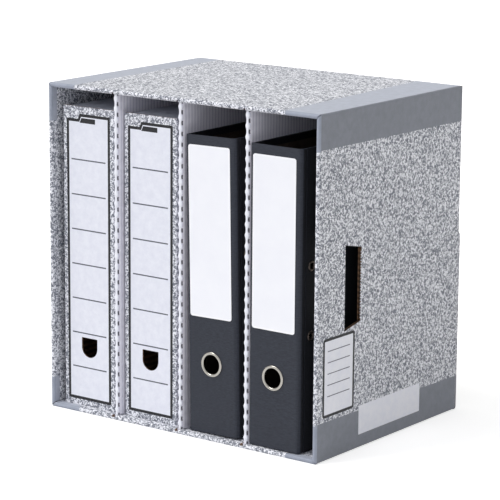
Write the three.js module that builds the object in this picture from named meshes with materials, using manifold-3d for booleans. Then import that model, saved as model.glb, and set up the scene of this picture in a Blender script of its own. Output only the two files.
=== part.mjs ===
// A corrugated four-bay file store holding two cardboard transfer files and two lever arch files.
// Millimetres. +X is the store's right, +Y runs from the open front to the closed back, +Z is up.
// The origin is on the underside, at the middle of the overall width and depth.

import * as THREE from 'three';
import { mergeVertices } from 'three/addons/utils/BufferGeometryUtils.js';
import Module from 'manifold-3d';

const wasm = await Module();
wasm.setup();

// Store: one folded and glued corrugated blank
const storeWidth = 392;
const storeDepth = 292;
const storeHeight = 395;
const outerBoard = 2.7;
const liningBoard = 2.5;
const plyGap = 0.3;
const bendRadius = 3;
const mitreGap = 0.9;
const mitreLand = 1.2;
const liningCornerGap = 0.5;
const liningRearGap = 3;
const rearFlapHeight = 220;
const rearFlapSideGap = 1;
const rearFlapCorner = 6;
const dustFlapGap = 16;
const dustFlapEdgeGap = 1;
const backFlapOverlap = 5;
const topFlapSideGap = 6;

// Hand hole, the same in both side walls, measured from the front edge and the underside
const handFront = 52.7;
const handRear = 84.4;
const handFrontLow = 143;
const handFrontHigh = 242;
const handRearLow = 150;
const handRearHigh = 235.4;
const handLiningRelief = 1.2;

// Dividers: folded double boards with a perforated front strip
const bayCount = 4;
const dividerThickness = 7;
const dividerLeaf = 2.7;
const dividerRecess = 3;
const dividerRearGap = 11.6;
const dividerFold = 0.8;
const perforationPitch = 12.4;
const perforationLength = 6;
const perforationDepth = 0.9;
const tabDepth = 96;
const slotSlack = 1.7;
const slotClearance = 0.4;

// Clearance between a piece and what it rests on or lines
const seatGap = 0.3;

// Transfer files: closed cartons of thin board, with their slack in a bay
const transferSideSlack = 10.25;
const transferHeadroom = 21.2;
const transferRearGap = 19.6;
const transferBoard = 2;
const transferRecess = 12;
const transferBayGaps = [7.3, 2.2];
const transferFold = 1.5;
const transferInnerFold = 0.5;
const transferTopDrop = 2.3;
const transferTopGap = 1.2;
const flapTuckGap = 0.6;
const thumbSlotWidth = 24;
const thumbSlotHeight = 24;
const thumbSlotLow = 60;

// Filing clip inside a transfer file
const clipLength = 112;
const clipWidth = 12;
const clipRadius = 4;
const clipThick = 2.4;
const clipInset = 24;
const prongSpacing = 80;
const prongWidth = 7;
const prongThick = 1;
const prongHeight = 46;
const prongClearance = 0.6;

// Lever arch files, with their slack in a bay
const leverSideSlack = 18.25;
const leverHeadroom = 36;
const leverRearGap = 5.6;
const leverBoard = 2.5;
const jointLeft = 2;
const jointRight = 6;
const jointInnerLeft = 0.6;
const jointInnerRight = 3.5;
const creaseWidth = 1.6;
const creaseDepth = 0.5;
const creaseInset = 8;
const leverRecess = 7;
const rightFileRecess = 4.5;
const rightFileGap = 0.3;
const leanTopGap = 2.3;
const leanFootGap = 9.1;

// Paper lining and spine label of a lever arch file
const paperThick = 0.4;
const liningMargin = 8;
const labelSideMargin = 1.5;
const labelHeight = 199;
const labelTopMargin = 11;
const labelRadius = 3;

// Thumb ring in the spine
const ringOuter = 29.5;
const ringHole = 21;
const ringFlange = 0.7;
const ringCrown = 1.5;
const ringHeight = 82.5;
const ringWall = 0.8;

// Eyelets in the right cover, over the arches
const punchSpacing = 80;
const eyeletOuter = 12;
const eyeletHole = 7;
const eyeletWall = 0.7;
const eyeletFlange = 0.5;
const eyeletInset = 20;

// Lever arch mechanism on the left cover
const plateLength = 160;
const plateWidth = 52;
const plateThick = 1.2;
const plateInset = 10;
const plateRadius = 6;
const postInset = 16;
const postDiameter = 4.4;
const postBore = 2.6;
const postBoreDepth = 8;
const wireDiameter = 3;
const archTipGap = 1;
const archTipLength = 8.4;
const archTopRadius = 6.5;
const archTopRun = 15.6;
const archSteps = 12;
const shaftInset = 50;
const shaftHeight = 7;
const earThick = 1.6;
const earHeight = 12;
const earWidth = 12;
const pinEarWidth = 8;
const earSpread = 58;
const pinDiameter = 4;
const pinInset = 57;
const pinHeight = 11;
const leverLength = 74;
const leverArmWidth = 15;
const leverArmThick = 1.5;
const leverLip = 5;
const leverRadius = 6;
const thumbEyeDiameter = 7.5;
const rollerDiameter = 8;
const rollerLength = 9;
const pressLength = 150;
const pressWidth = 18;
const pressRadius = 8;
const pressThick = 2.2;
const pressHole = 8;
const pressLift = 2.4;

// Metal edge guards on the bottom edges of both covers
const guardInset = 32;
const guardRearInset = 17;
const guardHeight = 8;
const guardThick = 0.4;
const guardClearance = 0.3;

// Numbers of sides of round work
const roundSides = 24;
const smallSides = 10;
const cutMargin = 1;

// Sizes worked out from the ones above
const wall = outerBoard + plyGap + liningBoard;
const frontY = -(storeDepth + outerBoard) / 2;
const rearY = frontY + storeDepth;
const halfWidth = storeWidth / 2;
const floorTop = wall;
const ceiling = storeHeight - wall;
const fileFloor = floorTop + seatGap;
const dividerPitch = (storeWidth - 2 * wall) / bayCount;
const bayWidth = dividerPitch - dividerThickness;
const bayDepth = storeDepth - 2 * outerBoard;
const bayHeight = ceiling - fileFloor;
const dividerDepth = bayDepth - dividerRecess - dividerRearGap;
const transferWidth = bayWidth - transferSideSlack;
const transferHeight = bayHeight - transferHeadroom;
const transferDepth = bayDepth - transferRecess - transferRearGap;
const coverFoot = guardThick + guardClearance;
const leverWidth = bayWidth - leverSideSlack;
const leverHeight = bayHeight - coverFoot - leverHeadroom;
const leverDepth = bayDepth - leverRecess - leverRearGap;
const guardLength = leverDepth - guardInset - guardRearInset;
const archTopGap = seatGap + eyeletFlange + seatGap; // clear of the eyelets' inner rims
const labelWidth = leverWidth - jointLeft - jointRight - 2 * labelSideMargin;

// Colours seen in the photograph, one for each kind of stuff
const printedBoard = new THREE.MeshStandardMaterial({ color: 0xa6a6b2, roughness: 0.75, metalness: 0 });
const whiteBoard = new THREE.MeshStandardMaterial({ color: 0xdadce6, roughness: 0.8, metalness: 0 });
const cartonBoard = new THREE.MeshStandardMaterial({ color: 0xb4b6c4, roughness: 0.7, metalness: 0 });
const clothBoard = new THREE.MeshStandardMaterial({ color: 0x31343c, roughness: 0.6, metalness: 0 });
const liningPaper = new THREE.MeshStandardMaterial({ color: 0x3a332e, roughness: 0.85, metalness: 0 });
const labelPaper = new THREE.MeshStandardMaterial({ color: 0xe6e8f2, roughness: 0.8, metalness: 0 });
const nickel = new THREE.MeshStandardMaterial({ color: 0xc4c6ca, roughness: 0.3, metalness: 1 });
const plastic = new THREE.MeshStandardMaterial({ color: 0x1e1e20, roughness: 0.5, metalness: 0 });
const whitePlastic = new THREE.MeshStandardMaterial({ color: 0xd8d8d4, roughness: 0.5, metalness: 0 });

// A closed geometry as a solid that can be joined and cut
function solidOf(geometry) {
  const bare = geometry.index ? geometry.toNonIndexed() : geometry.clone();
  bare.deleteAttribute('normal');
  bare.deleteAttribute('uv');
  const merged = mergeVertices(bare, 1e-5);
  return new wasm.Manifold(new wasm.Mesh({
    numProp: 3,
    vertProperties: new Float32Array(merged.attributes.position.array),
    triVerts: new Uint32Array(merged.index.array),
  }));
}

// A solid as a geometry with flat-shaded faces
function geometryOf(solid) {
  const mesh = solid.getMesh();
  const geometry = new THREE.BufferGeometry();
  geometry.setAttribute('position', new THREE.BufferAttribute(new Float32Array(mesh.vertProperties), 3));
  geometry.setIndex(new THREE.BufferAttribute(new Uint32Array(mesh.triVerts), 1));
  geometry.computeVertexNormals();
  return geometry;
}

function join(...solids) {
  return solids.reduce((whole, next) => whole.add(next));
}

function cut(base, ...tools) {
  return tools.reduce((whole, tool) => whole.subtract(tool), base);
}

function block(x0, x1, y0, y1, z0, z1) {
  const geometry = new THREE.BoxGeometry(x1 - x0, y1 - y0, z1 - z0);
  geometry.translate((x0 + x1) / 2, (y0 + y1) / 2, (z0 + z1) / 2);
  return solidOf(geometry);
}

// A shape drawn in X and Y, raised from z0 to z1
function riseZ(shape, z0, z1, curveSegments = 4) {
  const geometry = new THREE.ExtrudeGeometry(shape, { depth: z1 - z0, bevelEnabled: false, curveSegments });
  geometry.translate(0, 0, z0);
  return solidOf(geometry);
}

// A shape drawn in X and Z, carried from y0 to y1
function carryY(shape, y0, y1, curveSegments = 4) {
  const geometry = new THREE.ExtrudeGeometry(shape, { depth: y1 - y0, bevelEnabled: false, curveSegments });
  geometry.rotateX(Math.PI / 2);
  geometry.translate(0, y1, 0);
  return solidOf(geometry);
}

// A shape drawn in Y and Z, carried from x0 to x1
function carryX(shape, x0, x1, curveSegments = 4) {
  const geometry = new THREE.ExtrudeGeometry(shape, { depth: x1 - x0, bevelEnabled: false, curveSegments });
  const turn = new THREE.Matrix4().set(
    0, 0, 1, x0,
    1, 0, 0, 0,
    0, 1, 0, 0,
    0, 0, 0, 1,
  );
  geometry.applyMatrix4(turn);
  return solidOf(geometry);
}

// A rectangle with round corners, one radius for each corner, starting at the low left one
function roundedOutline(a0, b0, a1, b1, radii) {
  const [lowLeft, lowRight, highRight, highLeft] = radii;
  const shape = new THREE.Shape();
  shape.moveTo(a0 + lowLeft, b0);
  shape.lineTo(a1 - lowRight, b0);
  if (lowRight > 0) shape.absarc(a1 - lowRight, b0 + lowRight, lowRight, -Math.PI / 2, 0, false);
  shape.lineTo(a1, b1 - highRight);
  if (highRight > 0) shape.absarc(a1 - highRight, b1 - highRight, highRight, 0, Math.PI / 2, false);
  shape.lineTo(a0 + highLeft, b1);
  if (highLeft > 0) shape.absarc(a0 + highLeft, b1 - highLeft, highLeft, Math.PI / 2, Math.PI, false);
  shape.lineTo(a0, b0 + lowLeft);
  if (lowLeft > 0) shape.absarc(a0 + lowLeft, b0 + lowLeft, lowLeft, Math.PI, Math.PI * 1.5, false);
  return shape;
}

function evenOutline(a0, b0, a1, b1, radius) {
  return roundedOutline(a0, b0, a1, b1, [radius, radius, radius, radius]);
}

function polygon(points) {
  return new THREE.Shape(points.map(([a, b]) => new THREE.Vector2(a, b)));
}

// A round bar along one axis
function bar(diameter, from, to, sides = smallSides) {
  const direction = new THREE.Vector3().subVectors(to, from);
  const geometry = new THREE.CylinderGeometry(diameter / 2, diameter / 2, direction.length(), sides);
  const turn = new THREE.Quaternion().setFromUnitVectors(
    new THREE.Vector3(0, 1, 0),
    direction.clone().normalize(),
  );
  geometry.applyQuaternion(turn);
  geometry.translate((from.x + to.x) / 2, (from.y + to.y) / 2, (from.z + to.z) / 2);
  return solidOf(geometry);
}

function at(x, y, z) {
  return new THREE.Vector3(x, y, z);
}

function piece(name, geometry, material) {
  const mesh = new THREE.Mesh(geometry, material);
  mesh.name = name;
  return mesh;
}

// The hem where a wall turns in at the front: half round in front, joined to both plies behind
function hemSection() {
  const middle = wall / 2;
  const shape = new THREE.Shape();
  shape.moveTo(frontY + middle, 0);
  shape.lineTo(frontY + wall, 0);
  shape.lineTo(frontY + wall, wall);
  shape.lineTo(frontY + middle, wall);
  shape.absarc(frontY + middle, middle, middle, Math.PI / 2, Math.PI * 1.5, false);
  return shape;
}

function floorHem() {
  return carryX(hemSection(), -halfWidth + bendRadius / 2, halfWidth - bendRadius / 2);
}

function sideHem() {
  const hem = carryX(hemSection(), bendRadius / 2, storeHeight - bendRadius / 2);
  return hem.rotate([0, -90, 0]).translate([halfWidth, 0, 0]);
}

// Dark slit along the mitre of a hem corner; a thin land of board stays at the outer corner
function mitreSlit() {
  const run = wall * Math.SQRT2 * 2;
  const start = mitreLand * Math.SQRT2;
  const slit = block(start, start + run, frontY - cutMargin, frontY + wall + cutMargin, -mitreGap / 2, mitreGap / 2);
  return slit.rotate([0, -45, 0]).translate([-halfWidth, 0, 0]);
}

function dividerCentre(index) {
  return (index - (bayCount - 2) / 2) * dividerPitch;
}

// Clear left side of a bay, numbered from 0 at the left wall
function bayLeft(index) {
  return index === 0 ? -halfWidth + wall : dividerCentre(index - 1) + dividerThickness / 2;
}

// Slot in the floor or ceiling lining for a divider's tab, open at the front through the hem
function dividerSlot(index) {
  const left = dividerCentre(index) - dividerThickness / 2;
  const slotRear = frontY + dividerRecess + tabDepth + slotClearance;
  return block(
    left - slotSlack, left + dividerLeaf + slotClearance,
    frontY - cutMargin, slotRear,
    outerBoard + plyGap / 2, wall + cutMargin,
  );
}

function handOutline(relief) {
  const front = frontY + handFront - relief;
  const rear = frontY + handRear + relief;
  return polygon([
    [front, handFrontLow - relief],
    [rear, handRearLow - relief],
    [rear, handRearHigh + relief],
    [front, handFrontHigh + relief],
  ]);
}

function storeGeometry() {
  // Outer ply: floor, sides and top folded round as one tube
  const tubeShape = evenOutline(-halfWidth, 0, halfWidth, storeHeight, bendRadius);
  tubeShape.holes.push(evenOutline(
    -halfWidth + outerBoard, outerBoard, halfWidth - outerBoard, storeHeight - outerBoard,
    bendRadius - outerBoard + plyGap,
  ));
  const tube = carryY(tubeShape, frontY + wall / 2, rearY);
  const tubeEnds = riseZ(
    roundedOutline(-halfWidth, frontY, halfWidth, rearY, [0, 0, bendRadius, bendRadius]),
    0, storeHeight,
  );
  const topBend = carryX(
    roundedOutline(frontY, storeHeight / 2, rearY - outerBoard, storeHeight, [0, 0, bendRadius, 0]),
    -halfWidth, halfWidth,
  );
  const lowerHalf = block(-halfWidth, halfWidth, frontY, rearY, 0, storeHeight - outerBoard - plyGap);
  const outer = tube.intersect(tubeEnds).intersect(join(topBend, lowerHalf));

  // Turned-in lining: four boards, each joined to its wall only by the hem
  const liningX = halfWidth - outerBoard - plyGap;
  const liningRear = rearY - 2 * outerBoard - liningRearGap;
  const liningFront = frontY + wall / 2;
  const sideLow = wall + liningCornerGap;
  const sideHigh = storeHeight - sideLow;
  const linings = [
    block(-liningX, liningX, liningFront, liningRear, wall - liningBoard, wall),
    block(-liningX, liningX, liningFront, liningRear, ceiling, ceiling + liningBoard),
    block(-liningX, -liningX + liningBoard, liningFront, liningRear, sideLow, sideHigh),
    block(liningX - liningBoard, liningX, liningFront, liningRear, sideLow, sideHigh),
  ];

  // Hems along the four front edges
  const lowHem = floorHem();
  const highHem = lowHem.mirror([0, 0, 1]).translate([0, 0, storeHeight]);
  const rightHem = sideHem();
  const leftHem = rightHem.mirror([1, 0, 0]);

  // Back: side dust flaps, the top flap inside them, and the floor flap glued outside
  const dustLow = outerBoard;
  const dustHigh = storeHeight - dustFlapEdgeGap;
  const dustRight = riseZ(
    roundedOutline(dustFlapGap / 2, rearY - outerBoard, halfWidth, rearY, [0, 0, bendRadius - plyGap, 0]),
    dustLow, dustHigh,
  );
  const dustLeft = dustRight.mirror([1, 0, 0]);
  const topFlapX = halfWidth - wall - topFlapSideGap;
  const topFlap = block(
    -topFlapX, topFlapX, rearY - 2 * outerBoard, rearY - outerBoard,
    rearFlapHeight - backFlapOverlap, storeHeight - outerBoard / 2,
  );
  const flapX = halfWidth - rearFlapSideGap;
  const rearFlap = carryY(
    roundedOutline(-flapX, 0, flapX, rearFlapHeight, [0, 0, rearFlapCorner, rearFlapCorner]),
    rearY, rearY + outerBoard,
  );
  const floorBend = carryX(
    roundedOutline(frontY + wall, 0, rearY + outerBoard, rearFlapHeight, [0, bendRadius, 0, 0]),
    -flapX, flapX,
  );
  const floorTail = block(-flapX, flapX, rearY - outerBoard, rearY + outerBoard, 0, outerBoard);

  let store = join(outer, lowHem, highHem, rightHem, leftHem, ...linings, dustRight, dustLeft, topFlap);
  store = join(store, join(rearFlap, floorTail).intersect(floorBend));

  // Mitre slits at the four front corners
  const slit = mitreSlit();
  const upperSlit = slit.mirror([0, 0, 1]).translate([0, 0, storeHeight]);
  store = cut(store, slit, upperSlit, slit.mirror([1, 0, 0]), upperSlit.mirror([1, 0, 0]));

  // Slots for the tabs of the dividers
  for (let index = 0; index < bayCount - 1; index += 1) {
    const lowSlot = dividerSlot(index);
    store = cut(store, lowSlot, lowSlot.mirror([0, 0, 1]).translate([0, 0, storeHeight]));
  }

  // Hand holes: the lining is cut a little larger than the outer ply
  const liningFace = halfWidth - outerBoard - plyGap / 2;
  const outerCut = carryX(handOutline(0), liningFace, halfWidth + cutMargin);
  const liningCut = carryX(handOutline(handLiningRelief), halfWidth - wall - cutMargin, liningFace);
  store = cut(store, outerCut, liningCut, outerCut.mirror([1, 0, 0]), liningCut.mirror([1, 0, 0]));
  return geometryOf(store);
}

// A folded divider: front strip, two leaves and the tabs of its left leaf
function dividerGeometry(index) {
  const centre = dividerCentre(index);
  const left = centre - dividerThickness / 2;
  const right = centre + dividerThickness / 2;
  const front = frontY + dividerRecess;
  const rear = front + dividerDepth;
  const low = floorTop + seatGap;
  const high = ceiling - seatGap;
  const outline = roundedOutline(left, front, right, rear, [dividerFold, dividerFold, 0, 0]);
  const body = riseZ(outline, low, high, 1);
  const hollow = block(
    left + dividerLeaf, right - dividerLeaf, front + dividerLeaf, rear + cutMargin,
    low - cutMargin, high + cutMargin,
  );
  const tabLow = outerBoard + plyGap + seatGap;
  const tab = block(left, left + dividerLeaf, front + dividerFold, front + tabDepth, tabLow, low + cutMargin);
  const tabHigh = tab.mirror([0, 0, 1]).translate([0, 0, storeHeight]);
  let divider = join(cut(body, hollow), tab, tabHigh);

  // Perforations along both front folds
  const span = high - low;
  const count = Math.floor((span - perforationLength) / perforationPitch);
  const firstZ = low + (span - (count - 1) * perforationPitch) / 2;
  const nicks = [];
  for (let row = 0; row < count; row += 1) {
    const z = firstZ + row * perforationPitch;
    for (const edge of [left, right]) {
      nicks.push(block(
        edge - perforationDepth, edge + perforationDepth, front - perforationDepth, front + perforationDepth,
        z - perforationLength / 2, z + perforationLength / 2,
      ));
    }
  }
  divider = cut(divider, ...nicks);
  return geometryOf(divider);
}

// The thumb opening of a transfer file: flat top, round bottom
function thumbOutline(centreX) {
  const radius = thumbSlotWidth / 2;
  const low = thumbSlotLow;
  const shape = new THREE.Shape();
  shape.moveTo(centreX + radius, low + thumbSlotHeight);
  shape.lineTo(centreX - radius, low + thumbSlotHeight);
  shape.lineTo(centreX - radius, low + radius);
  shape.absarc(centreX, low + radius, radius, Math.PI, 2 * Math.PI, false);
  shape.lineTo(centreX + radius, low + thumbSlotHeight);
  return shape;
}

// Transfer file carton, in its own frame: left side at 0, spine front at 0, foot at 0
function cartonGeometry() {
  const w = transferWidth;
  const d = transferDepth;
  const h = transferHeight;
  const t = transferBoard;
  const topHigh = h - transferTopDrop;
  const outline = roundedOutline(0, 0, w, d, [transferFold, transferFold, transferFold, transferFold]);
  outline.holes.push(evenOutline(t, t, w - t, d - t, transferInnerFold));
  const sleeve = riseZ(outline, 0, h, 3);

  // Only the spine keeps its full height; the three other walls end level with the lid flap
  const sideTrim = block(-cutMargin, w + cutMargin, t, d + cutMargin, topHigh, h + cutMargin);
  const foot = block(t / 2, w - t / 2, t / 2, d - t / 2, 0, t);
  const lidFlap = block(t / 2, w - t - flapTuckGap, t + transferTopGap, d - t - flapTuckGap, topHigh - t, topHigh);

  // The rear flap is hinged on the right side and stops just short of the left one
  const rearSlit = block(t, t + flapTuckGap, d - t - cutMargin, d + cutMargin, t + flapTuckGap, h);
  const thumb = carryY(thumbOutline(w / 2), -cutMargin, t + cutMargin, 8);
  return geometryOf(cut(join(cut(sleeve, sideTrim), foot, lidFlap), rearSlit, thumb));
}

// Clip base with two flat prongs, standing on the inside of the left wall of its carton
function clipBaseGeometry() {
  const x = transferBoard + seatGap;
  const y = clipInset;
  const middle = transferHeight / 2;
  const base = carryX(
    evenOutline(y - clipWidth / 2, middle - clipLength / 2, y + clipWidth / 2, middle + clipLength / 2, clipRadius),
    x, x + clipThick,
  );
  const prongs = [-1, 1].map((side) => {
    const z = middle + side * prongSpacing / 2;
    return carryX(
      evenOutline(y - prongThick / 2, z - prongWidth / 2, y + prongThick / 2, z + prongWidth / 2, 0),
      x + clipThick / 2, x + prongHeight,
    );
  });
  return geometryOf(join(base, ...prongs));
}

// Clip bar: slides down the prongs onto the base
function clipBarGeometry() {
  const x = transferBoard + seatGap + clipThick + seatGap;
  const y = clipInset;
  const middle = transferHeight / 2;
  const strip = carryX(
    evenOutline(y - clipWidth / 2, middle - clipLength / 2, y + clipWidth / 2, middle + clipLength / 2, clipRadius),
    x, x + clipThick,
  );
  const slots = [-1, 1].map((side) => {
    const z = middle + side * prongSpacing / 2;
    const halfSlot = prongThick / 2 + prongClearance;
    const halfSlotHeight = prongWidth / 2 + prongClearance;
    return block(
      x - cutMargin, x + clipThick + cutMargin, y - halfSlot, y + halfSlot,
      z - halfSlotHeight, z + halfSlotHeight,
    );
  });
  return geometryOf(cut(strip, ...slots));
}

function transferFile(number, bay) {
  const left = bayLeft(bay) + transferBayGaps[bay];
  const file = new THREE.Group();
  file.add(piece(`transfer_file_${number}_carton`, cartonGeometry(), cartonBoard));
  file.add(piece(`transfer_file_${number}_clip_base`, clipBaseGeometry(), whitePlastic));
  file.add(piece(`transfer_file_${number}_clip_bar`, clipBarGeometry(), whitePlastic));
  file.position.set(left, frontY + transferRecess, fileFloor);
  return file;
}

// Lever arch file, in its own frame: left cover outside at 0, spine front at 0, guards' foot at 0
const coverTop = coverFoot + leverHeight;
const coverMiddle = coverFoot + leverHeight / 2;
const spineMiddle = (jointLeft + leverWidth - jointRight) / 2;
const innerLeft = leverBoard + seatGap + paperThick;
const plateFace = innerLeft + seatGap;
const archPeak = leverWidth - leverBoard - archTopGap - wireDiameter / 2;
const archTip = archPeak - archTopRadius - archTipLength;
const postTop = archTip - archTipGap - plateFace;
const punchHeights = [coverMiddle - punchSpacing / 2, coverMiddle + punchSpacing / 2];

// Board case: left cover, spine and right cover in one folded sheet
function coverGeometry() {
  const w = leverWidth;
  const t = leverBoard;
  const outline = roundedOutline(0, 0, w, leverDepth, [jointLeft, jointRight, 0, 0]);
  const body = riseZ(outline, coverFoot, coverTop, 6);
  const inside = riseZ(
    roundedOutline(t, t, w - t, leverDepth + cutMargin, [jointInnerLeft, jointInnerRight, 0, 0]),
    coverFoot - cutMargin, coverTop + cutMargin, 4,
  );
  const creases = [];
  for (const [x0, x1] of [[-cutMargin, creaseDepth], [w - creaseDepth, w + cutMargin]]) {
    creases.push(block(
      x0, x1, creaseInset, creaseInset + creaseWidth,
      coverFoot - cutMargin, coverTop + cutMargin,
    ));
  }
  const ringBarrel = ringHole + 2 * ringWall;
  const ringCut = bar(
    ringBarrel + 2 * seatGap,
    at(spineMiddle, -cutMargin, coverFoot + ringHeight), at(spineMiddle, t + cutMargin, coverFoot + ringHeight),
    roundSides,
  );
  const eyeletBarrel = eyeletHole + 2 * eyeletWall;
  const eyeletCuts = punchHeights.map((z) => bar(
    eyeletBarrel + 2 * seatGap, at(w - t - cutMargin, eyeletInset, z), at(w + cutMargin, eyeletInset, z),
  ));
  return geometryOf(cut(body, inside, ...creases, ringCut, ...eyeletCuts));
}

// Lining paper inside both covers and the spine, short of the edges, with windows for the metal parts
function liningGeometry() {
  const inset = leverBoard + seatGap;
  const w = leverWidth;
  const rear = leverDepth - liningMargin;
  const low = coverFoot + liningMargin;
  const high = coverTop - liningMargin;
  const body = riseZ(
    roundedOutline(inset, inset, w - inset, rear, [jointInnerLeft, jointInnerRight, 0, 0]),
    low, high,
  );
  const inner = inset + paperThick;
  const inside = riseZ(
    roundedOutline(inner, inner, w - inner, rear + cutMargin, [0, jointInnerRight - paperThick, 0, 0]),
    low - cutMargin, high + cutMargin,
  );
  const ringWindow = bar(
    ringOuter + 2 * seatGap,
    at(spineMiddle, 0, coverFoot + ringHeight), at(spineMiddle, 2 * inset, coverFoot + ringHeight), roundSides,
  );
  const eyeletWindows = punchHeights.map((z) => bar(
    eyeletOuter + 2 * seatGap, at(w - 2 * inset, eyeletInset, z), at(w, eyeletInset, z),
  ));
  return geometryOf(cut(body, inside, ringWindow, ...eyeletWindows));
}

function labelGeometry() {
  const left = spineMiddle - labelWidth / 2;
  const high = coverTop - labelTopMargin;
  const outline = evenOutline(left, high - labelHeight, left + labelWidth, high, labelRadius);
  return geometryOf(carryY(outline, -seatGap - paperThick, -seatGap, 4));
}

// A pressed ring set in a board: flange outside, barrel through the board, rolled lip inside
function ringGeometry(outer, hole, wallThick, flange, crown, board, sides) {
  const holeRadius = hole / 2;
  const barrelRadius = holeRadius + wallThick;
  const outerRadius = outer / 2;
  const middle = (holeRadius + outerRadius) / 2;
  const lip = barrelRadius + wallThick;
  const points = [
    [holeRadius, board + seatGap + flange],
    [holeRadius, -seatGap - crown / 2],
    [(holeRadius + middle) / 2, -seatGap - crown],
    [middle, -seatGap - crown],
    [outerRadius, -seatGap - flange / 2],
    [outerRadius, -seatGap],
    [barrelRadius, -seatGap],
    [barrelRadius, board + seatGap],
    [lip, board + seatGap],
    [lip, board + seatGap + flange],
    [holeRadius, board + seatGap + flange],
  ];
  return new THREE.LatheGeometry(points.map(([r, y]) => new THREE.Vector2(r, y)), sides);
}

function thumbRingGeometry() {
  const geometry = ringGeometry(ringOuter, ringHole, ringWall, ringFlange, ringCrown, leverBoard, roundSides);
  geometry.translate(spineMiddle, 0, coverFoot + ringHeight);
  return geometryOf(solidOf(geometry));
}

function eyeletGeometry(height) {
  const geometry = ringGeometry(
    eyeletOuter, eyeletHole, eyeletWall, eyeletFlange, 2 * eyeletFlange, leverBoard, smallSides,
  );
  geometry.rotateZ(Math.PI / 2);
  geometry.translate(leverWidth, eyeletInset, height);
  return geometryOf(solidOf(geometry));
}

// Base plate: pressed steel with a raised rib, four ears for the shaft and two for the lever's pin
function plateGeometry() {
  const x = plateFace;
  const y0 = plateInset;
  const y1 = plateInset + plateWidth;
  const half = plateLength / 2;
  const sheet = carryX(
    evenOutline(y0, coverMiddle - half, y1, coverMiddle + half, plateRadius),
    x, x + plateThick, 4,
  );
  const ears = [-1, 1].map((side) => {
    const z = coverMiddle + side * earSpread;
    return block(
      x + plateThick / 2, x + earHeight, shaftInset - earWidth / 2, shaftInset + earWidth / 2,
      z - earThick / 2, z + earThick / 2,
    );
  });
  const pinEars = [-1, 1].map((side) => {
    const z = coverMiddle + side * (leverArmWidth / 2 + seatGap + earThick / 2);
    return block(
      x + plateThick / 2, x + pinHeight + pinDiameter, pinInset - pinEarWidth / 2, pinInset + pinEarWidth / 2,
      z - earThick / 2, z + earThick / 2,
    );
  });
  const shaftBore = bar(
    wireDiameter + 2 * seatGap,
    at(x + shaftHeight, shaftInset, coverMiddle - half), at(x + shaftHeight, shaftInset, coverMiddle + half),
  );
  const pinBore = bar(
    pinDiameter + 2 * seatGap,
    at(x + pinHeight, pinInset, coverMiddle - leverArmWidth),
    at(x + pinHeight, pinInset, coverMiddle + leverArmWidth),
  );
  const postHoles = punchHeights.map((z) => bar(
    postDiameter + 2 * seatGap, at(x - cutMargin, postInset, z), at(x + plateThick + cutMargin, postInset, z),
  ));
  return geometryOf(cut(join(sheet, ...ears, ...pinEars), shaftBore, pinBore, ...postHoles));
}

// Fixed post: a tube-ended pin standing in the base plate, with a collar on it
function postGeometry(height) {
  const x = plateFace;
  const pin = bar(postDiameter, at(x, postInset, height), at(x + postTop, postInset, height));
  const collar = bar(
    postDiameter + 2 * plateThick,
    at(x + plateThick + seatGap, postInset, height), at(x + plateThick + seatGap + plateThick, postInset, height),
  );
  const bore = bar(
    postBore, at(x + postTop - postBoreDepth, postInset, height), at(x + postTop + cutMargin, postInset, height),
  );
  return geometryOf(cut(join(pin, collar), bore));
}

// Route of one arch, from the tip over its post to the shaft
function archRoute(height) {
  const bendX = archPeak - archTopRadius;
  const handleX = archPeak + archTopRadius / 3; // a curve's handles stand past its crown by a third of its rise
  const route = new THREE.CurvePath();
  route.add(new THREE.LineCurve3(at(archTip, postInset, height), at(bendX, postInset, height)));
  route.add(new THREE.CubicBezierCurve3(
    at(bendX, postInset, height),
    at(handleX, postInset, height),
    at(handleX, postInset + 2 * archTopRadius, height),
    at(bendX, postInset + archTopRun, height),
  ));
  route.add(new THREE.LineCurve3(
    at(bendX, postInset + archTopRun, height),
    at(plateFace + shaftHeight, shaftInset, height),
  ));
  return route;
}

function wireSection() {
  const shape = new THREE.Shape();
  shape.absarc(0, 0, wireDiameter / 2, 0, 2 * Math.PI, false);
  return shape;
}

// Both arches and their shaft: one bent wire
function archesGeometry() {
  const wires = punchHeights.map((z) => solidOf(new THREE.ExtrudeGeometry(wireSection(), {
    steps: archSteps,
    curveSegments: 4,
    bevelEnabled: false,
    extrudePath: archRoute(z),
  })));
  const reach = earSpread + earThick + wireDiameter;
  const shaft = bar(
    wireDiameter,
    at(plateFace + shaftHeight, shaftInset, coverMiddle - reach),
    at(plateFace + shaftHeight, shaftInset, coverMiddle + reach),
  );
  return geometryOf(join(shaft, ...wires));
}

// Lever: channel of pressed steel lying back along the cover, with a thumb eye at its end
function leverGeometry() {
  const x = plateFace + pinHeight;
  const half = leverArmWidth / 2;
  const y0 = pinInset - pinDiameter;
  const y1 = pinInset + leverLength;
  const webX = x + rollerDiameter / 2 + seatGap;
  const web = carryX(
    evenOutline(y0, coverMiddle - half, y1, coverMiddle + half, leverRadius),
    webX, webX + leverArmThick, 5,
  );
  const sides = [-1, 1].map((side) => {
    const z = coverMiddle + side * (half - leverArmThick / 2);
    return block(
      webX - leverLip, webX + leverArmThick / 2, y0 + half, y1 - half,
      z - leverArmThick / 2, z + leverArmThick / 2,
    );
  });
  const cheeks = [-1, 1].map((side) => {
    const z = coverMiddle + side * (half - leverArmThick / 2);
    return block(
      x - leverLip, webX + leverArmThick / 2, y0, y0 + half + cutMargin,
      z - leverArmThick / 2, z + leverArmThick / 2,
    );
  });
  const pinBore = bar(
    pinDiameter + 2 * seatGap, at(x, pinInset, coverMiddle - leverArmWidth),
    at(x, pinInset, coverMiddle + leverArmWidth),
  );
  const thumbEye = bar(
    thumbEyeDiameter, at(webX - leverLip, y1 - half, coverMiddle), at(webX + leverLip, y1 - half, coverMiddle),
  );
  return geometryOf(cut(join(web, ...sides, ...cheeks), pinBore, thumbEye));
}

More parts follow.
